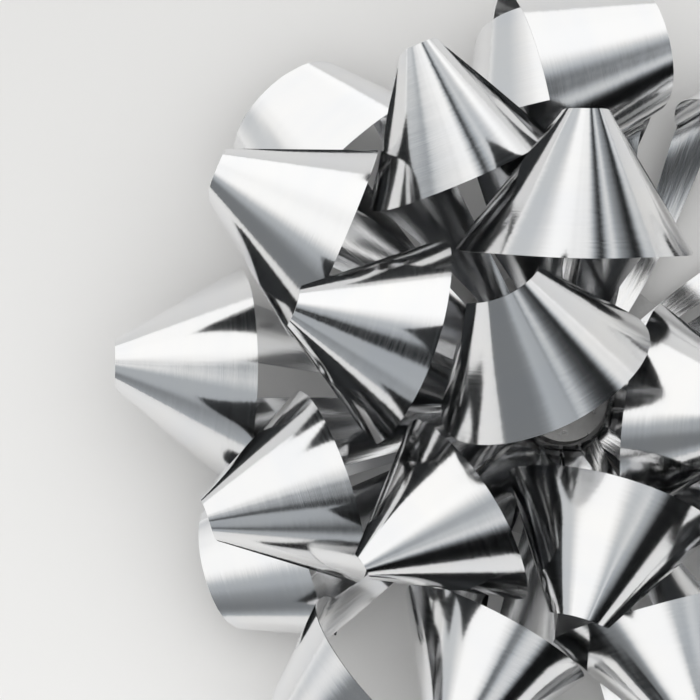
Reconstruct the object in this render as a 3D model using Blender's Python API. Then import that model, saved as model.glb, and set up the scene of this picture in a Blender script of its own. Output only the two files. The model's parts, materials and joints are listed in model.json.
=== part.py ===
"""Stick-on gift bow: tiers of foil ribbon loops round a stapled stack, on a card with an adhesive pad.

The origin is the centre of the flat underside and +Z points up through the centre loop.
"""
import math
from collections import namedtuple

import bmesh
import bpy
from mathutils import Matrix, Vector

MM = 0.001

# Ribbon
RIBBON_WIDTH = 19.0 * MM
RIBBON_THICKNESS = 0.25 * MM
WRAP_STEPS = 16
LEG_STEPS = 5
WIDTH_STEPS = 2
TRIM_SHARPNESS = 8

# Ends of a loop, gathered beside the stapled stack
ROOT_RADIUS = 6.3 * MM
ROOT_WIDTH = 2.4 * MM
ROOT_GAP = 0.5 * MM

# Stapled stack: one folded ribbon centre for each level of loops
STACK_RADIUS = 5.8 * MM
STACK_LAYER = 0.8 * MM
LEVEL_PITCH = 1.1 * MM
FIRST_LEVEL = 3.2 * MM
LEVEL_COUNT = 6

# Base, from the underside up
LINER_THICKNESS = 0.2 * MM
LINER_RADIUS = 15.0 * MM
LINER_TAB_LENGTH = 6.0 * MM
LINER_TAB_WIDTH = 9.0 * MM
PAD_BOTTOM = 0.5 * MM
PAD_THICKNESS = 1.0 * MM
PAD_RADIUS = 14.0 * MM
PAD_HOLE_RADIUS = 6.5 * MM
CARD_BOTTOM = 1.8 * MM
CARD_THICKNESS = 0.5 * MM
CARD_RADIUS = 19.0 * MM
DISC_SEGMENTS = 48

# Staple
STAPLE_WIRE_RADIUS = 0.35 * MM
STAPLE_HALF_SPAN = 3.8 * MM
STAPLE_CLINCH = 2.6 * MM
STAPLE_BEND = 0.8 * MM
STAPLE_CLEARANCE = 0.3 * MM
STAPLE_BEND_STEPS = 4

SHARP_ANGLE = math.radians(40)

FOIL = ("foil", (0.80, 0.80, 0.82), 1.0, 0.18)
FOIL_BACK = ("foil_back", (0.62, 0.62, 0.64), 1.0, 0.35)
CARD = ("card", (0.55, 0.55, 0.57), 1.0, 0.40)
FOAM = ("foam", (0.93, 0.93, 0.91), 0.0, 0.85)
PAPER = ("paper", (0.90, 0.89, 0.84), 0.0, 0.45)
WIRE = ("wire", (0.66, 0.66, 0.68), 1.0, 0.30)

# cone: half angle of the loop's cone; tip: distance from the cone's apex to the ribbon's near edge;
# wrap: how far each side goes round the cone before it leaves as a leg; mouth: ribbon width left at the mouth;
# squash: height of the cone's cross-section over its width; dip: slope of the gathered end;
# leave and arrive: how firmly a leg holds its direction at its two ends
Tier = namedtuple("Tier", "cone tip wrap mouth squash dip leave arrive")

LOWER = Tier(cone=20, tip=24.7 * MM, wrap=119, mouth=17.1 * MM, squash=0.7, dip=10, leave=0.5, arrive=1.2)
MIDDLE = Tier(cone=27, tip=4.6 * MM, wrap=121, mouth=26.6 * MM, squash=1, dip=15, leave=0.45, arrive=1.1)
UPPER = Tier(cone=27, tip=4.2 * MM, wrap=137, mouth=32.3 * MM, squash=1, dip=50, leave=0.75, arrive=1)
CENTRE = Tier(cone=26, tip=8.0 * MM, wrap=134, mouth=27.6 * MM, squash=1, dip=63, leave=0.7, arrive=0.7)


def clear_scene():
    for old in list(bpy.data.objects):
        bpy.data.objects.remove(old)


def give_material(obj, look):
    """Gives the object its own Principled material."""
    label, colour, metallic, roughness = look
    material = bpy.data.materials.new(f"{obj.name}_{label}")
    material.use_nodes = True
    shader = material.node_tree.nodes["Principled BSDF"]
    shader.inputs["Base Color"].default_value = (*colour, 1.0)
    shader.inputs["Metallic"].default_value = metallic
    shader.inputs["Roughness"].default_value = roughness
    material.diffuse_color = (*colour, 1.0)
    obj.data.materials.append(material)


def add_object(name, data, look):
    obj = bpy.data.objects.new(name, data)
    bpy.context.scene.collection.objects.link(obj)
    give_material(obj, look)
    return obj


def shade(mesh):
    mesh.shade_smooth()
    mesh.set_sharp_from_angle(angle=SHARP_ANGLE)


def level_height(level):
    """Height of the middle of a stack layer, and of the loop ends beside it."""
    return FIRST_LEVEL + level * LEVEL_PITCH


# Ribbon loops


def radial(turn):
    """Unit vector that points out from the bow's axis, turn degrees round from +X."""
    angle = math.radians(turn)
    return Vector((math.cos(angle), math.sin(angle), 0))


def cone_axes(heading, tilt, roll):
    """Axis of a loop's cone towards its apex, and the upper and side directions across it."""
    rise = math.radians(tilt)
    lean = math.radians(roll)
    flat = radial(heading)
    forward = flat * math.cos(rise) + Vector((0, 0, math.sin(rise)))
    upper = Vector((0, 0, math.cos(rise))) - flat * math.sin(rise)
    sideways = upper.cross(forward)
    leaned = upper * math.cos(lean) + sideways * math.sin(lean)
    return forward, leaned, leaned.cross(forward)


def hermite(start, start_pull, end, end_pull, t):
    """Point at t along the smooth curve between two ends with the given pulls."""
    near = 2 * t**3 - 3 * t**2 + 1
    return (
        start * near
        + start_pull * (t**3 - 2 * t**2 + t)
        + end * (1 - near)
        + end_pull * (t**3 - t**2)
    )


def loop_rows(tier, apex, axes, hinge, out):
    """Rows of points across the ribbon, from one gathered end round the cone to the other.

    A straight ribbon that lies on a cone keeps its flat shape: a line at angle bend from the middle of
    the loop meets its near edge tip / cos(bend) from the apex, and stands bend / sin(cone) round the axis.
    """
    forward, upper, side = axes
    cone = math.radians(tier.cone)
    wrap = math.radians(tier.wrap)
    reach_limit = tier.tip + tier.mouth
    shares = [i / WIDTH_STEPS for i in range(WIDTH_STEPS + 1)]

    def line_direction(around):
        across = upper * (math.cos(around) * tier.squash) + side * math.sin(around)
        return across * math.sin(cone) - forward * math.cos(cone)

    def line(around):
        stretch = 1 / math.cos(around * math.sin(cone))
        near = tier.tip * stretch
        full = (tier.tip + RIBBON_WIDTH) * stretch
        far = (full**-TRIM_SHARPNESS + reach_limit**-TRIM_SHARPNESS) ** (-1 / TRIM_SHARPNESS)
        return [apex + line_direction(around) * (near + (far - near) * share) for share in shares]

    def leg(turned):
        """The ribbon from the end of the wrap on one side of the cone to its gathered end."""
        around = turned * wrap
        turning = (side * math.cos(around) - upper * (math.sin(around) * tier.squash)) * turned
        bend = wrap * math.sin(cone)
        run = line_direction(around) * math.sin(bend) + turning * math.cos(bend)
        along = Vector((-out.y, out.x, 0))
        hand = turned * math.copysign(1, side.dot(along))
        dip = math.radians(tier.dip)
        inward = -out * math.cos(dip) - Vector((0, 0, math.sin(dip)))
        starts = line(around)
        ends = [hinge + along * hand * (ROOT_GAP / 2 + ROOT_WIDTH * share) for share in shares]
        rows = []
        for step in range(1, LEG_STEPS + 1):
            row = []
            for start, end in zip(starts, ends):
                span = (end - start).length
                pulls = run * span * tier.leave, inward * span * tier.arrive
                row.append(hermite(start, pulls[0], end, pulls[1], step / LEG_STEPS))
            rows.append(row)
        return rows

    wrapped = [line(wrap * (2 * i / WRAP_STEPS - 1)) for i in range(WRAP_STEPS + 1)]
    return leg(-1)[::-1] + wrapped + leg(1)


def ribbon_loop(name, tier, level, turn, reach, lift, heading, tilt, roll=0):
    """One loop. Its object stands on its hinge at the stack, with local Y along the hinge's axis.

    turn is the side of the stack where the loop's ends are gathered; turn, reach and lift place the
    cone's apex, with reach and lift in millimetres; heading, tilt and roll aim the cone, in degrees.
    """
    apex = radial(turn) * reach * MM + Vector((0, 0, lift * MM))
    hinge = radial(turn) * ROOT_RADIUS + Vector((0, 0, level_height(level)))
    rows = loop_rows(tier, apex, cone_axes(heading, tilt, roll), hinge, radial(turn))
    placing = Matrix.Translation(hinge) @ Matrix.Rotation(math.radians(turn), 4, "Z")
    to_local = placing.inverted()

    sheet = bmesh.new()
    grid = [[sheet.verts.new(to_local @ point) for point in row] for row in rows]
    for row, following in zip(grid, grid[1:]):
        for i in range(WIDTH_STEPS):
            sheet.faces.new((row[i], following[i], following[i + 1], row[i + 1]))
    mesh = bpy.data.meshes.new(name)
    sheet.to_mesh(mesh)
    sheet.free()
    shade(mesh)

    loop = add_object(name, mesh, FOIL)
    loop.matrix_world = placing
    solid = loop.modifiers.new("ribbon_thickness", "SOLIDIFY")
    solid.thickness = RIBBON_THICKNESS
    solid.offset = 0
    return loop


# Stapled stack and base


def add_disc(mesh, radius, thickness, segments=DISC_SEGMENTS):
    """A flat round disc centred on the origin."""
    bmesh.ops.create_cone(
        mesh,
        cap_ends=True,
        segments=segments,
        radius1=radius,
        radius2=radius,
        depth=thickness,
    )


def disc(name, radius, bottom, thickness, look):
    shape = bmesh.new()
    add_disc(shape, radius, thickness)
    mesh = bpy.data.meshes.new(name)
    shape.to_mesh(mesh)
    shape.free()
    shade(mesh)
    obj = add_object(name, mesh, look)
    obj.location.z = bottom + thickness / 2
    return obj


def cut(obj, cutter):
    boolean = obj.modifiers.new(f"cut_{cutter.name}", "BOOLEAN")
    boolean.operation = "DIFFERENCE"
    boolean.solver = "EXACT"
    boolean.object = cutter


def make_cutter(name, mesh):
    cutter = bpy.data.objects.new(name, mesh)
    bpy.context.scene.collection.objects.link(cutter)
    cutter.hide_render = True
    cutter.display_type = "WIRE"
    return cutter


def staple_hole_cutter():
    """Two round posts, one for each leg of the staple."""
    shape = bmesh.new()
    length = 4 * level_height(LEVEL_COUNT)
    radius = STAPLE_WIRE_RADIUS + STAPLE_CLEARANCE
    for side in (-1, 1):
        before = set(shape.verts)
        add_disc(shape, radius, length, segments=12)
        added = [vert for vert in shape.verts if vert not in before]
        bmesh.ops.translate(shape, verts=added, vec=(side * STAPLE_HALF_SPAN, 0, 0))
    mesh = bpy.data.meshes.new("staple_holes")
    shape.to_mesh(mesh)
    shape.free()
    return make_cutter("staple_holes", mesh)


def stack_layers(staple_holes):
    """The folded ribbon centres: one layer for each level of loops."""
    for level in range(LEVEL_COUNT):
        name = f"ribbon_centre_{level + 1}"
        layer = disc(name, STACK_RADIUS, level_height(level) - STACK_LAYER / 2, STACK_LAYER, FOIL_BACK)
        cut(layer, staple_holes)


def base_card(staple_holes):
    card = disc("base_card", CARD_RADIUS, CARD_BOTTOM, CARD_THICKNESS, CARD)
    cut(card, staple_holes)


def foam_pad():
    """Ring of adhesive foam; its hole leaves room for the staple's clinched ends."""
    pad = disc("foam_pad", PAD_RADIUS, PAD_BOTTOM, PAD_THICKNESS, FOAM)
    shape = bmesh.new()
    add_disc(shape, PAD_HOLE_RADIUS, 4 * PAD_THICKNESS)
    mesh = bpy.data.meshes.new("pad_hole")
    shape.to_mesh(mesh)
    shape.free()
    hole = make_cutter("pad_hole", mesh)
    hole.location.z = PAD_BOTTOM
    cut(pad, hole)


def release_liner():
    """Paper disc with a square pull tab, drawn as one outline and given its thickness."""
    half_tab = LINER_TAB_WIDTH / 2
    tab_end = LINER_RADIUS + LINER_TAB_LENGTH
    start = math.asin(half_tab / LINER_RADIUS)
    sweep = 2 * (math.pi - start)
    outline = [(tab_end, -half_tab), (tab_end, half_tab)]
    for i in range(DISC_SEGMENTS + 1):
        angle = start + sweep * i / DISC_SEGMENTS
        outline.append((LINER_RADIUS * math.cos(angle), LINER_RADIUS * math.sin(angle)))
    shape = bmesh.new()
    face = shape.faces.new([shape.verts.new((x, y, 0)) for x, y in outline])
    raised = bmesh.ops.extrude_face_region(shape, geom=[face])["geom"]
    top = [item for item in raised if isinstance(item, bmesh.types.BMVert)]
    bmesh.ops.translate(shape, verts=top, vec=(0, 0, LINER_THICKNESS))
    bmesh.ops.recalc_face_normals(shape, faces=shape.faces)
    mesh = bpy.data.meshes.new("release_liner")
    shape.to_mesh(mesh)
    shape.free()
    add_object("release_liner", mesh, PAPER)


def staple():
    """Wire staple: crown over the stack, legs through it, ends clinched inward under the card."""
    top = level_height(LEVEL_COUNT - 1) + STACK_LAYER / 2 + STAPLE_WIRE_RADIUS + STAPLE_CLEARANCE
    bottom = CARD_BOTTOM - STAPLE_WIRE_RADIUS - STAPLE_CLEARANCE
    path = [Vector((-STAPLE_HALF_SPAN + STAPLE_CLINCH, 0, bottom))]
    corners = [(-1, bottom, 0), (-1, top, 1), (1, top, 2), (1, bottom, 3)]
    for side, height, quarter in corners:
        inward_x = side * (STAPLE_HALF_SPAN - STAPLE_BEND)
        inward_z = height + (STAPLE_BEND if height == bottom else -STAPLE_BEND)
        first = math.radians((270, 180, 90, 0)[quarter])
        for step in range(STAPLE_BEND_STEPS + 1):
            angle = first - math.radians(90) * step / STAPLE_BEND_STEPS
            swing = Vector((math.cos(angle), 0, math.sin(angle))) * STAPLE_BEND
            path.append(Vector((inward_x, 0, inward_z)) + swing)
    path.append(Vector((STAPLE_HALF_SPAN - STAPLE_CLINCH, 0, bottom)))

    curve = bpy.data.curves.new("staple", "CURVE")
    curve.dimensions = "3D"
    curve.bevel_depth = STAPLE_WIRE_RADIUS
    curve.bevel_resolution = 1
    curve.use_fill_caps = True
    spline = curve.splines.new("POLY")
    spline.points.add(len(path) - 1)
    for point, place in zip(spline.points, path):
        point.co = (*place, 1)
    add_object("staple", curve, WIRE)


def lower_tier():
    ribbon_loop(
        "lower_loop_1", LOWER, level=0, turn=96, reach=76.5, lift=15,
        heading=101, tilt=4, roll=16,
    )
    ribbon_loop(
        "lower_loop_2", LOWER, level=1, turn=134, reach=81.5, lift=9.5,
        heading=134, tilt=0, roll=1,
    )
    ribbon_loop(
        "lower_loop_3", LOWER._replace(cone=18, tip=25.7 * MM), level=0, turn=202, reach=78.5, lift=11,
        heading=194, tilt=1, roll=1,
    )
    ribbon_loop(
        "lower_loop_4", LOWER, level=1, turn=231, reach=81, lift=14.5,
        heading=223, tilt=-15, roll=4,
    )
    ribbon_loop(
        "lower_loop_5", LOWER, level=0, turn=268, reach=82.5, lift=9,
        heading=268, tilt=-5, roll=-6,
    )
    ribbon_loop(
        "lower_loop_6", LOWER, level=1, turn=307, reach=82, lift=15.5,
        heading=307, tilt=2, roll=-4,
    )
    ribbon_loop(
        "lower_loop_7", LOWER, level=0, turn=343, reach=81, lift=9.5,
        heading=343, tilt=-5, roll=-9,
    )
    ribbon_loop(
        "lower_loop_8", LOWER, level=1, turn=20, reach=82.5, lift=18,
        heading=20, tilt=-13, roll=9,
    )
    ribbon_loop(
        "lower_loop_9", LOWER, level=0, turn=50, reach=78.5, lift=5.5,
        heading=50, tilt=-11, roll=2,
    )


def middle_tier():
    ribbon_loop(
        "middle_loop_1", MIDDLE._replace(tip=4.2 * MM), level=2, turn=115, reach=52, lift=39,
        heading=113, tilt=38, roll=-2,
    )
    ribbon_loop(
        "middle_loop_2", MIDDLE._replace(tip=5.7 * MM), level=3, turn=150, reach=59.5, lift=38,
        heading=154, tilt=30, roll=-8,
    )
    ribbon_loop(
        "middle_loop_3", MIDDLE._replace(cone=29), level=2, turn=177, reach=64.5, lift=30,
        heading=179, tilt=38, roll=-3,
    )
    ribbon_loop(
        "middle_loop_4", MIDDLE, level=3, turn=200, reach=55, lift=38.5,
        heading=198, tilt=35, roll=-3,
    )
    ribbon_loop(
        "middle_loop_5", MIDDLE, level=2, turn=250, reach=54.5, lift=31,
        heading=245, tilt=32, roll=8,
    )
    ribbon_loop(
        "middle_loop_6", MIDDLE, level=3, turn=290, reach=53.5, lift=30.5,
        heading=290, tilt=28, roll=12,
    )
    ribbon_loop(
        "middle_loop_7", MIDDLE, level=2, turn=329, reach=56.5, lift=36,
        heading=329, tilt=35, roll=-1,
    )
    ribbon_loop(
        "middle_loop_8", MIDDLE, level=3, turn=8, reach=52.5, lift=37.5,
        heading=8, tilt=37, roll=3,
    )
    ribbon_loop(
        "middle_loop_9", MIDDLE._replace(cone=17, tip=24.7 * MM), level=2, turn=56, reach=64.5, lift=24.5,
        heading=16, tilt=8, roll=7,
    )


def upper_tier():
    ribbon_loop(
        "upper_loop_1", UPPER._replace(cone=29), level=4, turn=89, reach=37.5, lift=47,
        heading=89, tilt=42,
    )
    ribbon_loop(
        "upper_loop_2", UPPER, level=4, turn=167, reach=41, lift=47.5,
        heading=168, tilt=43, roll=12,
    )
    ribbon_loop(
        "upper_loop_3", UPPER._replace(cone=27.5, tip=2.7 * MM), level=4, turn=220, reach=39, lift=43.5,
        heading=211, tilt=40, roll=-3,
    )
    ribbon_loop(
        "upper_loop_4", UPPER._replace(cone=25.5, tip=6.6 * MM), level=4, turn=266, reach=36.5, lift=42,
        heading=251, tilt=35, roll=-6,
    )
    ribbon_loop(
        "upper_loop_5", UPPER._replace(tip=4.6 * MM), level=4, turn=349, reach=28.5, lift=44.5,
        heading=351, tilt=44, roll=3,
    )


def centre_tier():
    ribbon_loop(
        "centre_loop", CENTRE, level=5, turn=132, reach=20, lift=61.5,
        heading=121, tilt=51, roll=5,
    )


clear_scene()
lower_tier()
middle_tier()
upper_tier()
centre_tier()
holes = staple_hole_cutter()
stack_layers(holes)
base_card(holes)
foam_pad()
release_liner()
staple()
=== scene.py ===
"""Looks of the foil gift bow: finely curved ribbon loops, base, staple, floor, light and camera."""

import json
import math
from collections import namedtuple

import bpy
import numpy as np
from mathutils import Matrix, Vector


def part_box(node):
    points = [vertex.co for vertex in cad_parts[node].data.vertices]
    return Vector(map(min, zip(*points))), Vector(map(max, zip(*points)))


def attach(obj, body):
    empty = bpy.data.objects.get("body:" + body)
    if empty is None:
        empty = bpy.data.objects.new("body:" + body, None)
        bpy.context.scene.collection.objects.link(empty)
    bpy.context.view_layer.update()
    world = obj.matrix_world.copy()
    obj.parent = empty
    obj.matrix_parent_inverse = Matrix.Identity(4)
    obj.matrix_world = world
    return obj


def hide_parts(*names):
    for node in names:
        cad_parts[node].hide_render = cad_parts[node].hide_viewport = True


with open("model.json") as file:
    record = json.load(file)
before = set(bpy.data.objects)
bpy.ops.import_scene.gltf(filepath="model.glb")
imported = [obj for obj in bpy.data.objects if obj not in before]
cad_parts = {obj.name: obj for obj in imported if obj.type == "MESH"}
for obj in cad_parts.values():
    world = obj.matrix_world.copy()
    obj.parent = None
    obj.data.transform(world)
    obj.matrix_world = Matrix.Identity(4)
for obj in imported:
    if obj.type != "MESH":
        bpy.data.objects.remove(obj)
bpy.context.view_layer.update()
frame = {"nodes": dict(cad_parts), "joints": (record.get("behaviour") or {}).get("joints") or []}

MM = 0.001
JOINTS = {joint["name"]: joint for joint in frame["joints"]}

# Ribbon, as in the CAD, with its thickness brought down to that of real film
RIBBON_WIDTH = 19.0 * MM
FILM_THICKNESS = 0.12 * MM
WRAP_STEPS = 72
LEG_STEPS = 22
WIDTH_STEPS = 14
TRIM_SHARPNESS = 8
ROOT_WIDTH = 2.4 * MM
ROOT_GAP = 0.5 * MM
SHARP_ANGLE = math.radians(40)

# How far the smooth wrap is drawn in towards its cone, so that it stays inside the flat-sided solid
WRAP_INSET = 0.12 * MM

# Handling marks pressed into the film; places, spots, widths and lengths are shares of the ribbon's
# length or width, and MARKED_REACH is the share of the length that carries marks, either side of the middle
SEED = 19
MARKED_REACH = 0.30
RIPPLE_DEPTH = 0.10 * MM
RIPPLE_WAVES = (3, 5)
RIPPLE_SLANT = 0.8
RIPPLE_SHARE = (0.4, 1.0)
RIPPLE_AT_NEAR_EDGE = 0.25
MARK_KINDS = ("dent", "dent", "crease", "crease")
MARK_PLACE = (0.3, 0.7)
MARK_SPOT = (0.1, 0.9)
MARK_WIDTH = (0.015, 0.035)
MARK_LENGTH = (0.3, 0.7)
MARK_LEAN = 0.05
DENT_DEPTH = 0.10 * MM

# Foil: sideways tilt of the fine drawing lines, as a slope
GRAIN_SWAY = 0.014

# Foam pad: hole, and how round its cut sides are (1 is a half circle)
PAD_HOLE_RADIUS = 6.5 * MM
FOAM_BULGE = 0.5
FOAM_SIDE_STEPS = 10
RING_SEGMENTS = 96

# Floor: half its side, and the two Y positions between which its colour brightens, a painted light gradient
FLOOR_REACH = 4.0
FLOOR_PAINTED_LIGHT = (0.06, -0.05)

# Studio: wander of the painted edges, overhead light, backdrop past the floor, ray depths between which
# reflections count as repeated, brightnesses between which the tint turns from cool to warm
STRAY_SLOPE = 0.16
STRAY_SCALE = 3.0
OVERHEAD_PEAK = 2.75
OVERHEAD_BASE = 0.08
OVERHEAD_SHARPNESS = 4.0
BACKDROP = 0.78
REPEATED_DEPTH = (2.4, 2.6)
TINT_RANGE = (0.4, 0.9)
COOL_GREY = (0.95, 1.0, 1.04)
WARM_WHITE = (1.0, 0.995, 0.98)

# Camera: place in ribbon widths back, right and up from the origin
CAMERA_ELEVATION = 84
CAMERA_LENS = 153.9
CAMERA_SENSOR = 36
CAMERA_PLACE = (22, -1.544, 0.404)

# cone: half angle of the loop's cone; tip: distance from the cone's apex to the ribbon's near edge;
# wrap: how far each side goes round the cone before it leaves as a leg;
# mouth: ribbon width left at the mouth;
# squash: height of the cone's cross-section over its width; dip: slope of the gathered end;
# leave and arrive: how firmly a leg holds its direction at its two ends
Tier = namedtuple("Tier", "cone tip wrap mouth squash dip leave arrive")

LOWER = Tier(cone=20, tip=24.7 * MM, wrap=119, mouth=17.1 * MM, squash=0.7, dip=10, leave=0.5, arrive=1.2)
MIDDLE = Tier(cone=27, tip=4.6 * MM, wrap=121, mouth=26.6 * MM, squash=1, dip=15, leave=0.45, arrive=1.1)
UPPER = Tier(cone=27, tip=4.2 * MM, wrap=137, mouth=32.3 * MM, squash=1, dip=50, leave=0.75, arrive=1)
CENTRE = Tier(cone=26, tip=8.0 * MM, wrap=134, mouth=27.6 * MM, squash=1, dip=63, leave=0.7, arrive=0.7)


# Ribbon loops


def unit(vector):
    return vector / np.linalg.norm(vector)


def radial(turn):
    """Unit vector that points out from the bow's axis, turn degrees round from +X."""
    angle = math.radians(turn)
    return np.array((math.cos(angle), math.sin(angle), 0.0))


def cone_axes(heading, tilt, roll):
    """Axis of a loop's cone towards its apex, and the upper and side directions across it."""
    rise = math.radians(tilt)
    lean = math.radians(roll)
    vertical = np.array((0.0, 0.0, 1.0))
    forward = radial(heading) * math.cos(rise) + vertical * math.sin(rise)
    upper = vertical * math.cos(rise) - radial(heading) * math.sin(rise)
    leaned = upper * math.cos(lean) + np.cross(upper, forward) * math.sin(lean)
    return forward, leaned, np.cross(leaned, forward)


def loop_surface(tier, apex, axes, hinge, out):
    """Grid of points on the middle of the ribbon: along its length, then across its width."""
    forward, upper, side = axes
    cone = math.radians(tier.cone)
    wrap = math.radians(tier.wrap)
    dip = math.radians(tier.dip)
    shares = np.linspace(0, 1, WIDTH_STEPS + 1)[:, None]
    along = np.array((-out[1], out[0], 0.0))
    inward = -out * math.cos(dip) - np.array((0, 0, math.sin(dip)))

    def line_direction(around):
        across = upper * (math.cos(around) * tier.squash) + side * math.sin(around)
        return across * math.sin(cone) - forward * math.cos(cone)

    def line(around):
        stretch = 1 / math.cos(around * math.sin(cone))
        near = tier.tip * stretch
        full = (tier.tip + RIBBON_WIDTH) * stretch
        limit = tier.tip + tier.mouth
        far = (full**-TRIM_SHARPNESS + limit**-TRIM_SHARPNESS) ** (-1 / TRIM_SHARPNESS)
        return apex + line_direction(around) * (near + (far - near) * shares)

    def leg(turned):
        around = turned * wrap
        turning = (side * math.cos(around) - upper * (math.sin(around) * tier.squash)) * turned
        bend = wrap * math.sin(cone)
        run = line_direction(around) * math.sin(bend) + turning * math.cos(bend)
        hand = turned * math.copysign(1, side @ along)
        start = line(around)
        end = hinge + along * hand * (ROOT_GAP / 2 + ROOT_WIDTH * shares)
        span = np.linalg.norm(end - start, axis=1)[:, None]
        rows = []
        for step in range(1, LEG_STEPS + 1):
            t = step / LEG_STEPS
            near = 2 * t**3 - 3 * t**2 + 1
            rows.append(
                start * near
                + run * span * tier.leave * (t**3 - 2 * t**2 + t)
                + end * (1 - near)
                + inward * span * tier.arrive * (t**3 - t**2)
            )
        return rows

    wrapped = [line(wrap * (2 * i / WRAP_STEPS - 1)) for i in range(WRAP_STEPS + 1)]
    return np.array(leg(-1)[::-1] + wrapped + leg(1))


def surface_normals(grid):
    normals = np.cross(np.gradient(grid, axis=0), np.gradient(grid, axis=1))
    return normals / np.linalg.norm(normals, axis=2)[..., None]


def handled(grid, chance):
    """The grid drawn in by the inset, with soft ripples, dents and creases round its middle."""
    rows, columns = grid.shape[:2]
    along = np.linspace(0, 1, rows)[:, None]
    across = np.linspace(0, 1, columns)[None, :]
    middle = np.exp(-(((along - 0.5) / MARKED_REACH) ** 4))
    depth = np.zeros((rows, columns))
    for waves in RIPPLE_WAVES:
        phase = chance.uniform(0, 2 * math.pi)
        slant = chance.uniform(-RIPPLE_SLANT, RIPPLE_SLANT)
        share = chance.uniform(*RIPPLE_SHARE) * RIPPLE_WAVES[0] / waves
        depth += RIPPLE_DEPTH * share * np.sin(2 * math.pi * waves * along + phase + slant * across)
    depth *= middle * (RIPPLE_AT_NEAR_EDGE + (1 - RIPPLE_AT_NEAR_EDGE) * across)
    depth -= WRAP_INSET * middle
    for kind in MARK_KINDS:
        place = chance.uniform(*MARK_PLACE)
        spot = chance.uniform(*MARK_SPOT)
        width = chance.uniform(*MARK_WIDTH)
        length = chance.uniform(*MARK_LENGTH)
        lean = chance.uniform(-MARK_LEAN, MARK_LEAN)
        push = chance.uniform(-1, 1) * DENT_DEPTH
        away = np.abs(along - place - lean * (across - spot)) / width
        profile = np.exp(-(away**2)) if kind == "dent" else np.exp(-away)
        depth += push * profile * middle * np.exp(-(((across - spot) / length) ** 2))
    return grid + surface_normals(grid) * depth[..., None]


def ribbon_mesh(name, grid):
    """Closed strip of film round the grid, with a UV map in millimetres along and across the ribbon."""
    rows, columns = grid.shape[:2]
    lift = surface_normals(grid) * (FILM_THICKNESS / 2)
    points = np.concatenate([(grid + lift).reshape(-1, 3), (grid - lift).reshape(-1, 3)])
    front = np.arange(rows * columns).reshape(rows, columns)
    back = front + rows * columns
    faces = [
        np.stack([front[:-1, :-1], front[1:, :-1], front[1:, 1:], front[:-1, 1:]], -1).reshape(-1, 4),
        np.stack([back[:-1, :-1], back[:-1, 1:], back[1:, 1:], back[1:, :-1]], -1).reshape(-1, 4),
        np.stack([front[:-1, 0], back[:-1, 0], back[1:, 0], front[1:, 0]], -1),
        np.stack([front[:-1, -1], front[1:, -1], back[1:, -1], back[:-1, -1]], -1),
        np.stack([front[0, :-1], front[0, 1:], back[0, 1:], back[0, :-1]], -1),
        np.stack([front[-1, :-1], back[-1, :-1], back[-1, 1:], front[-1, 1:]], -1),
    ]
    faces = np.concatenate(faces)
    mesh = bpy.data.meshes.new(name)
    mesh.from_pydata(points.tolist(), [], faces.tolist())
    mesh.update()
    step = np.linalg.norm(np.diff(grid, axis=0), axis=2).mean(axis=1)
    length = np.concatenate([[0], np.cumsum(step)]) / MM
    across = np.linspace(0, RIBBON_WIDTH / MM, columns)
    flat = np.stack(np.meshgrid(length, across, indexing="ij"), -1).reshape(-1, 2)
    flat = np.concatenate([flat, flat])
    layer = mesh.uv_layers.new(name="ribbon")
    layer.data.foreach_set("uv", flat[faces.ravel()].astype(np.float32).ravel())
    mesh.shade_smooth()
    mesh.set_sharp_from_angle(angle=SHARP_ANGLE)
    return mesh


def ribbon_loop(name, tier, reach, lift, heading, tilt, roll=0):
    """One loop, in place of the CAD node of the same name. Its hinge gives the side it stands on."""
    hinge = np.array(JOINTS[name + "_flex"]["pos_m"])
    out = unit(hinge * (1, 1, 0))
    apex = out * reach * MM + np.array((0, 0, lift * MM))
    grid = loop_surface(tier, apex, cone_axes(heading, tilt, roll), hinge, out)
    grid = handled(grid, np.random.default_rng(SEED + len(loops)))
    loop = bpy.data.objects.new(name + "_foil", ribbon_mesh(name + "_foil", grid))
    bpy.context.scene.collection.objects.link(loop)
    loop.data.materials.append(FOIL)
    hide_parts(name)
    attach(loop, name)
    loops.append(loop)


# Materials


class Nodes:
    """A material's node tree, with short calls to add and link nodes."""

    def __init__(self, name):
        self.material = bpy.data.materials.new(name)
        self.material.use_nodes = True
        self.tree = self.material.node_tree
        self.shader = self.tree.nodes["Principled BSDF"]

    def add(self, kind, links=None, **values):
        node = self.tree.nodes.new(kind)
        for key, value in values.items():
            if hasattr(node, key):
                setattr(node, key, value)
            else:
                node.inputs[key.replace("_", " ")].default_value = value
        for key, source in (links or {}).items():
            self.tree.links.new(source, node.inputs[key])
        return node

    def ramp(self, source, *stops):
        """Colour ramp over the source; each stop is (position, brightness or colour)."""
        node = self.add("ShaderNodeValToRGB", {"Fac": source})
        elements = node.color_ramp.elements
        while len(elements) < len(stops):
            elements.new(0.5)
        for element, (position, colour) in zip(elements, stops):
            element.position = position
            if isinstance(colour, (int, float)):
                colour = (colour, colour, colour)
            element.color = (*colour, 1)
        return node.outputs["Color"]

    def feed(self, key, source):
        if isinstance(source, (int, float, tuple)):
            self.shader.inputs[key].default_value = source
        else:
            self.tree.links.new(source, self.shader.inputs[key])


def stretched_noise(nodes, coordinates, scale, noise_scale=1.0, detail=3.0):
    mapping = nodes.add("ShaderNodeMapping", {"Vector": coordinates}, Scale=scale)
    links = {"Vector": mapping.outputs["Vector"]}
    return nodes.add("ShaderNodeTexNoise", links, Scale=noise_scale, Detail=detail).outputs["Fac"]


def bump(nodes, height, strength, distance, normal=None):
    links = {"Height": height}
    if normal is not None:
        links["Normal"] = normal
    return nodes.add("ShaderNodeBump", links, Strength=strength, Distance=distance).outputs["Normal"]


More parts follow.
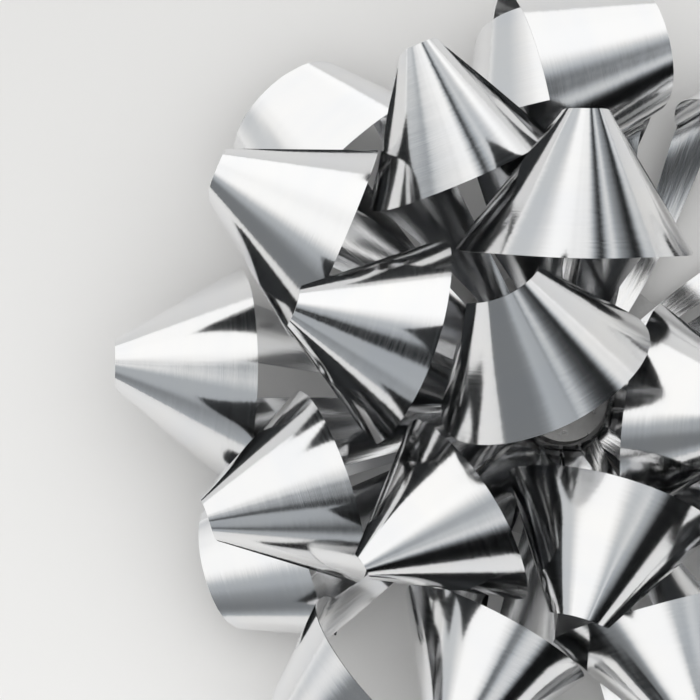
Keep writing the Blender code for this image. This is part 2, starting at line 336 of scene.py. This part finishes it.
def swayed_normal(nodes, normal, threads):
    """The normal leaned along the ribbon, one way or the other from thread to thread."""
    sway = nodes.add("ShaderNodeMapRange", {"Value": threads}, From_Min=0.25, From_Max=0.75)
    sway.inputs["To Min"].default_value = -GRAIN_SWAY
    sway.inputs["To Max"].default_value = GRAIN_SWAY
    tangent = nodes.add("ShaderNodeTangent", direction_type="UV_MAP", uv_map="ribbon").outputs["Tangent"]
    links = {"Vector": tangent, "Scale": sway.outputs["Result"]}
    lean = nodes.add("ShaderNodeVectorMath", links, operation="SCALE").outputs["Vector"]
    leaned = nodes.add("ShaderNodeVectorMath", {0: normal, 1: lean}, operation="ADD").outputs["Vector"]
    return nodes.add("ShaderNodeVectorMath", {0: leaned}, operation="NORMALIZE").outputs["Vector"]


def foil_material():
    """Mirror-bright metallised film with fine drawing lines along the ribbon."""
    nodes = Nodes("silver_foil")
    uv = nodes.add("ShaderNodeUVMap", uv_map="ribbon").outputs["UV"]
    lines = stretched_noise(nodes, uv, (0.10, 7.0, 1.0), detail=4.0)
    waves = stretched_noise(nodes, uv, (0.10, 0.32, 1.0), detail=2.0)
    cloud = stretched_noise(nodes, uv, (0.05, 0.12, 1.0), detail=2.0)
    nodes.feed("Metallic", 1.0)
    nodes.feed("Base Color", nodes.ramp(cloud, (0.35, (0.83, 0.84, 0.86)), (0.65, (0.87, 0.87, 0.87))))
    nodes.feed("Roughness", nodes.ramp(lines, (0.3, 0.10), (0.7, 0.17)))
    normal = bump(nodes, waves, 0.3, 0.05 * MM)
    normal = bump(nodes, lines, 0.25, 0.008 * MM, normal)
    threads = stretched_noise(nodes, uv, (0.06, 4.5, 1.0), detail=2.0)
    nodes.feed("Normal", swayed_normal(nodes, normal, threads))
    return nodes.material


def foil_back_material():
    """Folded ribbon centres: the same film, creased and a little duller."""
    nodes = Nodes("foil_back")
    place = nodes.add("ShaderNodeTexCoord").outputs["Object"]
    creases = stretched_noise(nodes, place, (1, 1, 1), noise_scale=600)
    nodes.feed("Metallic", 1.0)
    nodes.feed("Base Color", nodes.ramp(creases, (0.3, 0.55), (0.7, 0.68)))
    nodes.feed("Roughness", nodes.ramp(creases, (0.3, 0.25), (0.7, 0.40)))
    nodes.feed("Normal", bump(nodes, creases, 0.4, 0.1 * MM))
    return nodes.material


def card_material():
    """Silver-faced card with a faint fibre texture under the film."""
    nodes = Nodes("silver_card")
    place = nodes.add("ShaderNodeTexCoord").outputs["Object"]
    fibres = stretched_noise(nodes, place, (1, 1, 1), noise_scale=1500, detail=5)
    nodes.feed("Metallic", 1.0)
    nodes.feed("Base Color", nodes.ramp(fibres, (0.3, 0.50), (0.7, 0.58)))
    nodes.feed("Roughness", nodes.ramp(fibres, (0.3, 0.28), (0.7, 0.42)))
    nodes.feed("Normal", bump(nodes, fibres, 0.3, 0.03 * MM))
    return nodes.material


def foam_material():
    """Closed-cell foam: small pits of uneven size."""
    nodes = Nodes("white_foam")
    place = nodes.add("ShaderNodeTexCoord").outputs["Object"]
    cells = nodes.add("ShaderNodeTexVoronoi", {"Vector": place}, Scale=2600.0).outputs["Distance"]
    nodes.feed("Base Color", nodes.ramp(cells, (0.0, (0.78, 0.78, 0.75)), (0.5, (0.91, 0.91, 0.88))))
    nodes.feed("Roughness", nodes.ramp(cells, (0.0, 0.95), (0.5, 0.8)))
    nodes.feed("Normal", bump(nodes, cells, 0.8, 0.12 * MM))
    return nodes.material


def paper_material():
    """Silicone-coated release paper: fine fibres under a satin coat."""
    nodes = Nodes("release_paper")
    place = nodes.add("ShaderNodeTexCoord").outputs["Object"]
    fibres = stretched_noise(nodes, place, (1, 3, 1), noise_scale=900, detail=6)
    nodes.feed("Base Color", nodes.ramp(fibres, (0.3, (0.84, 0.82, 0.76)), (0.7, (0.90, 0.88, 0.83))))
    nodes.feed("Roughness", nodes.ramp(fibres, (0.3, 0.38), (0.7, 0.55)))
    nodes.feed("Normal", bump(nodes, fibres, 0.3, 0.02 * MM))
    return nodes.material


def wire_material():
    """Drawn steel wire with faint lengthwise scratches."""
    nodes = Nodes("staple_wire")
    place = nodes.add("ShaderNodeTexCoord").outputs["Object"]
    scratches = stretched_noise(nodes, place, (0.1, 1, 1), noise_scale=4000)
    nodes.feed("Metallic", 1.0)
    nodes.feed("Base Color", nodes.ramp(scratches, (0.3, 0.58), (0.7, 0.70)))
    nodes.feed("Roughness", nodes.ramp(scratches, (0.3, 0.22), (0.7, 0.38)))
    return nodes.material


# Base


def turned_ring(name, profile):
    """Closed ring: the (radius, height) profile turned round the bow's axis."""
    count = len(profile)
    points = []
    for step in range(RING_SEGMENTS):
        angle = 2 * math.pi * step / RING_SEGMENTS
        points += [(r * math.cos(angle), r * math.sin(angle), z) for r, z in profile]
    faces = []
    for step in range(RING_SEGMENTS):
        here = step * count
        following = (step + 1) % RING_SEGMENTS * count
        for i in range(count):
            j = (i + 1) % count
            faces.append((here + i, following + i, following + j, here + j))
    mesh = bpy.data.meshes.new(name)
    mesh.from_pydata(points, [], faces)
    mesh.update()
    mesh.shade_smooth()
    ring = bpy.data.objects.new(name, mesh)
    bpy.context.scene.collection.objects.link(ring)
    return ring


def foam_ring():
    """Soft foam pad whose cut sides bulge a little between card and liner."""
    low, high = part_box("foam_pad")
    outer = high.x
    inner = PAD_HOLE_RADIUS
    middle = (low.z + high.z) / 2
    half = (high.z - low.z) / 2
    profile = []
    for i in range(FOAM_SIDE_STEPS + 1):
        angle = math.pi * (i / FOAM_SIDE_STEPS - 0.5)
        profile.append((outer - half * FOAM_BULGE * (1 - math.cos(angle)), middle + half * math.sin(angle)))
    for i in range(FOAM_SIDE_STEPS + 1):
        angle = math.pi * (0.5 - i / FOAM_SIDE_STEPS)
        profile.append((inner + half * FOAM_BULGE * (1 - math.cos(angle)), middle + half * math.sin(angle)))
    ring = turned_ring("foam_pad_soft", profile)
    ring.data.materials.append(foam_material())
    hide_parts("foam_pad")
    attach(ring, "base")


FOIL = foil_material()
loops = []

ribbon_loop("lower_loop_1", LOWER, reach=76.5, lift=15, heading=101, tilt=4, roll=16)
ribbon_loop("lower_loop_2", LOWER, reach=81.5, lift=9.5, heading=134, tilt=0, roll=1)
ribbon_loop(
    "lower_loop_3", LOWER._replace(cone=18, tip=25.7 * MM), reach=78.5, lift=11, heading=194, tilt=1, roll=1
)
ribbon_loop("lower_loop_4", LOWER, reach=81, lift=14.5, heading=223, tilt=-15, roll=4)
ribbon_loop("lower_loop_5", LOWER, reach=82.5, lift=9, heading=268, tilt=-5, roll=-6)
ribbon_loop("lower_loop_6", LOWER, reach=82, lift=15.5, heading=307, tilt=2, roll=-4)
ribbon_loop("lower_loop_7", LOWER, reach=81, lift=9.5, heading=343, tilt=-5, roll=-9)
ribbon_loop("lower_loop_8", LOWER, reach=82.5, lift=18, heading=20, tilt=-13, roll=9)
ribbon_loop("lower_loop_9", LOWER, reach=78.5, lift=5.5, heading=50, tilt=-11, roll=2)
ribbon_loop("middle_loop_1", MIDDLE._replace(tip=4.2 * MM), reach=52, lift=39, heading=113, tilt=38, roll=-2)
ribbon_loop(
    "middle_loop_2", MIDDLE._replace(tip=5.7 * MM), reach=59.5, lift=38, heading=154, tilt=30, roll=-8
)
ribbon_loop("middle_loop_3", MIDDLE._replace(cone=29), reach=64.5, lift=30, heading=179, tilt=38, roll=-3)
ribbon_loop("middle_loop_4", MIDDLE, reach=55, lift=38.5, heading=198, tilt=35, roll=-3)
ribbon_loop("middle_loop_5", MIDDLE, reach=54.5, lift=31, heading=245, tilt=32, roll=8)
ribbon_loop("middle_loop_6", MIDDLE, reach=53.5, lift=30.5, heading=290, tilt=28, roll=12)
ribbon_loop("middle_loop_7", MIDDLE, reach=56.5, lift=36, heading=329, tilt=35, roll=-1)
ribbon_loop("middle_loop_8", MIDDLE, reach=52.5, lift=37.5, heading=8, tilt=37, roll=3)
ribbon_loop(
    "middle_loop_9", MIDDLE._replace(cone=17, tip=24.7 * MM),
    reach=64.5, lift=24.5, heading=16, tilt=8, roll=7,
)
ribbon_loop("upper_loop_1", UPPER._replace(cone=29), reach=37.5, lift=47, heading=89, tilt=42)
ribbon_loop("upper_loop_2", UPPER, reach=41, lift=47.5, heading=168, tilt=43, roll=12)
ribbon_loop(
    "upper_loop_3", UPPER._replace(cone=27.5, tip=2.7 * MM),
    reach=39, lift=43.5, heading=211, tilt=40, roll=-3,
)
ribbon_loop(
    "upper_loop_4", UPPER._replace(cone=25.5, tip=6.6 * MM),
    reach=36.5, lift=42, heading=251, tilt=35, roll=-6,
)
ribbon_loop("upper_loop_5", UPPER._replace(tip=4.6 * MM), reach=28.5, lift=44.5, heading=351, tilt=44, roll=3)
ribbon_loop("centre_loop", CENTRE, reach=20, lift=61.5, heading=121, tilt=51, roll=5)

foam_ring()


def finish_node(node, material):
    """Gives a CAD node that stays its finished material."""
    data = frame["nodes"][node].data
    data.materials.clear()
    data.materials.append(material)


back_film = foil_back_material()
for node_name in frame["nodes"]:
    if node_name.startswith("ribbon_centre_"):
        finish_node(node_name, back_film)
finish_node("base_card", card_material())
finish_node("release_liner", paper_material())
finish_node("staple", wire_material())


# Floor, light and camera


def floor():
    nodes = Nodes("pale_floor")
    place = nodes.add("ShaderNodeTexCoord").outputs["Object"]
    split = nodes.add("ShaderNodeSeparateXYZ", {"Vector": place})
    # Base colour lighter towards -Y: painted light, a gradient of light across the floor
    far, near = FLOOR_PAINTED_LIGHT
    reach = nodes.add("ShaderNodeMapRange", {"Value": split.outputs["Y"]}, From_Min=far, From_Max=near)
    nodes.feed("Base Color", nodes.ramp(reach.outputs["Result"], (0.0, 0.76), (1.0, 0.86)))
    nodes.feed("Roughness", 0.9)
    mesh = bpy.data.meshes.new("floor")
    corners = [(x * FLOOR_REACH, y * FLOOR_REACH, 0) for x, y in ((-1, -1), (1, -1), (1, 1), (-1, 1))]
    mesh.from_pydata(corners, [], [(0, 1, 2, 3)])
    plane = bpy.data.objects.new("floor", mesh)
    bpy.context.scene.collection.objects.link(plane)
    mesh.materials.append(nodes.material)


class Sky:
    """World nodes that paint the studio as a facet sees it.

    A facet with slope (x, y) seen from straight above mirrors the part of the studio at that place on
    the chart, so soft boxes and black flags are laid out on the chart of slopes.
    """

    def __init__(self):
        world = bpy.data.worlds.new("studio")
        bpy.context.scene.world = world
        world.use_nodes = True
        world.cycles.sampling_method = "NONE"
        self.tree = world.node_tree
        self.tree.nodes.clear()
        place = self.tree.nodes.new("ShaderNodeTexCoord").outputs["Generated"]
        split = self.tree.nodes.new("ShaderNodeSeparateXYZ")
        self.tree.links.new(place, split.inputs[0])
        self.z = split.outputs["Z"]
        over = self.math("MAXIMUM", self.math("ADD", self.z, 1.0), 0.05)
        noise = self.tree.nodes.new("ShaderNodeTexNoise")
        noise.inputs["Scale"].default_value = STRAY_SCALE
        noise.inputs["Detail"].default_value = 1.0
        self.tree.links.new(place, noise.inputs["Vector"])
        stray = self.math("MULTIPLY", self.math("SUBTRACT", noise.outputs["Fac"], 0.5), STRAY_SLOPE)
        self.x = self.math("ADD", self.math("DIVIDE", split.outputs["X"], over), stray)
        self.y = self.math("ADD", self.math("DIVIDE", split.outputs["Y"], over), stray)
        self.value = None

    def math(self, operation, first, second=None, third=None):
        node = self.tree.nodes.new("ShaderNodeMath")
        node.operation = operation
        for slot, source in enumerate((first, second, third)):
            if source is None:
                continue
            if isinstance(source, (int, float)):
                node.inputs[slot].default_value = source
            else:
                self.tree.links.new(source, node.inputs[slot])
        return node.outputs[0]

    def edge(self, source, start, end):
        """0 before start, 1 after end, smooth between."""
        node = self.tree.nodes.new("ShaderNodeMapRange")
        node.interpolation_type = "SMOOTHSTEP"
        self.tree.links.new(source, node.inputs["Value"])
        node.inputs["From Min"].default_value = start
        node.inputs["From Max"].default_value = end
        return node.outputs["Result"]

    def slope_towards(self, turn):
        """Slope towards the side turn degrees round from +X."""
        angle = math.radians(turn)
        return self.math(
            "ADD",
            self.math("MULTIPLY", self.x, math.cos(angle)),
            self.math("MULTIPLY", self.y, math.sin(angle)),
        )

    def paint(self, mask, brightness):
        """Covers the chart with the brightness where the mask is 1."""
        if self.value is None:
            self.value = self.math("MULTIPLY", mask, brightness)
            return
        keep = self.math("MULTIPLY", self.value, self.math("SUBTRACT", 1.0, mask))
        self.value = self.math("ADD", keep, self.math("MULTIPLY", mask, brightness))

    def bar(self, turn, near, far, start, end, brightness, soft=0.05):
        """A bar across the chart: from near to far towards turn, and from start to end to its left."""
        towards = self.slope_towards(turn)
        beside = self.slope_towards(turn + 90)
        mask = self.edge(towards, near - soft, near + soft)
        mask = self.math("MULTIPLY", mask, self.edge(towards, far + soft, far - soft))
        mask = self.math("MULTIPLY", mask, self.edge(beside, start - soft, start + soft))
        mask = self.math("MULTIPLY", mask, self.edge(beside, end + soft, end - soft))
        self.paint(mask, brightness)

    def finish(self, ambient, deep):
        """Lights the scene.

        Mirrors see the painted studio, repeated reflections only a deep share of it, the rest even light.
        Past the edge of the floor the camera sees a pale backdrop.
        """
        path = self.tree.nodes.new("ShaderNodeLightPath")
        mirrored = path.outputs["Is Glossy Ray"]
        repeated = self.edge(path.outputs["Ray Depth"], *REPEATED_DEPTH)
        kept = self.math("SUBTRACT", 1.0, self.math("MULTIPLY", repeated, 1 - deep))
        studio = self.math("MULTIPLY", self.math("MULTIPLY", self.value, kept), mirrored)
        height = self.math("MAXIMUM", self.z, 0.0)
        peak = self.math("POWER", height, OVERHEAD_SHARPNESS)
        overhead = self.math("MULTIPLY_ADD", peak, OVERHEAD_PEAK * ambient, OVERHEAD_BASE * ambient)
        seen = self.math("MULTIPLY", path.outputs["Is Camera Ray"], BACKDROP)
        unmirrored = self.math("SUBTRACT", 1.0, mirrored)
        even = self.math("MULTIPLY", unmirrored, self.math("MAXIMUM", overhead, seen))
        background = self.tree.nodes.new("ShaderNodeBackground")
        self.tree.links.new(self.math("ADD", studio, even), background.inputs["Strength"])
        tint = self.tree.nodes.new("ShaderNodeMix")
        tint.data_type = "RGBA"
        warmth = self.math("MAXIMUM", self.edge(studio, *TINT_RANGE), unmirrored)
        self.tree.links.new(warmth, tint.inputs["Factor"])
        tint.inputs["A"].default_value = (*COOL_GREY, 1)
        tint.inputs["B"].default_value = (*WARM_WHITE, 1)
        self.tree.links.new(tint.outputs["Result"], background.inputs["Color"])
        output = self.tree.nodes.new("ShaderNodeOutputWorld")
        self.tree.links.new(background.outputs[0], output.inputs[0])


def studio():
    sky = Sky()
    everywhere = sky.edge(sky.z, -2.0, -1.5)
    sky.paint(everywhere, 0.42)
    sky.bar(turn=180, near=-0.13, far=1.6, start=-1.6, end=1.6, brightness=0.46, soft=0.09)
    sky.bar(turn=225, near=0.42, far=1.6, start=-0.6, end=0.5, brightness=0.20, soft=0.12)
    sky.bar(turn=95, near=0.14, far=1.6, start=-1.6, end=1.6, brightness=1.15, soft=0.12)
    sky.bar(turn=180, near=-0.13, far=1.6, start=-1.6, end=0.20, brightness=1.10, soft=0.10)
    sky.bar(turn=180, near=0.42, far=0.95, start=-0.75, end=0.10, brightness=0.62, soft=0.14)
    sky.bar(turn=0, near=0.17, far=0.27, start=-0.32, end=0.05, brightness=0.002, soft=0.05)
    sky.bar(turn=0, near=0.34, far=0.42, start=-0.36, end=0.10, brightness=0.85, soft=0.06)
    sky.bar(turn=-30, near=0.50, far=1.3, start=-0.5, end=0.42, brightness=0.004, soft=0.09)
    sky.bar(turn=10, near=0.76, far=0.95, start=-0.10, end=0.6, brightness=0.90, soft=0.08)
    sky.bar(turn=205, near=0.74, far=1.0, start=-0.02, end=0.16, brightness=0.004, soft=0.05)
    sky.finish(ambient=1.03, deep=0.03)


def camera():
    """Looks down at the bow a little off its centre, so that its right and lower sides leave the frame."""
    elevation = math.radians(CAMERA_ELEVATION)
    right = Vector((1, 0, 0))
    up = Vector((0, math.sin(elevation), math.cos(elevation)))
    back = Vector((0, -math.cos(elevation), math.sin(elevation)))
    data = bpy.data.cameras.new("camera")
    data.lens = CAMERA_LENS
    data.sensor_width = CAMERA_SENSOR
    data.clip_start = 0.01
    view = bpy.data.objects.new("camera", data)
    bpy.context.scene.collection.objects.link(view)
    away, across, above = CAMERA_PLACE
    place = (back * away + right * across + up * above) * RIBBON_WIDTH
    view.matrix_world = Matrix.Translation(place) @ Matrix((right, up, back)).transposed().to_4x4()
    bpy.context.scene.camera = view


floor()
studio()
camera()
bpy.context.scene.view_settings.view_transform = "Standard"
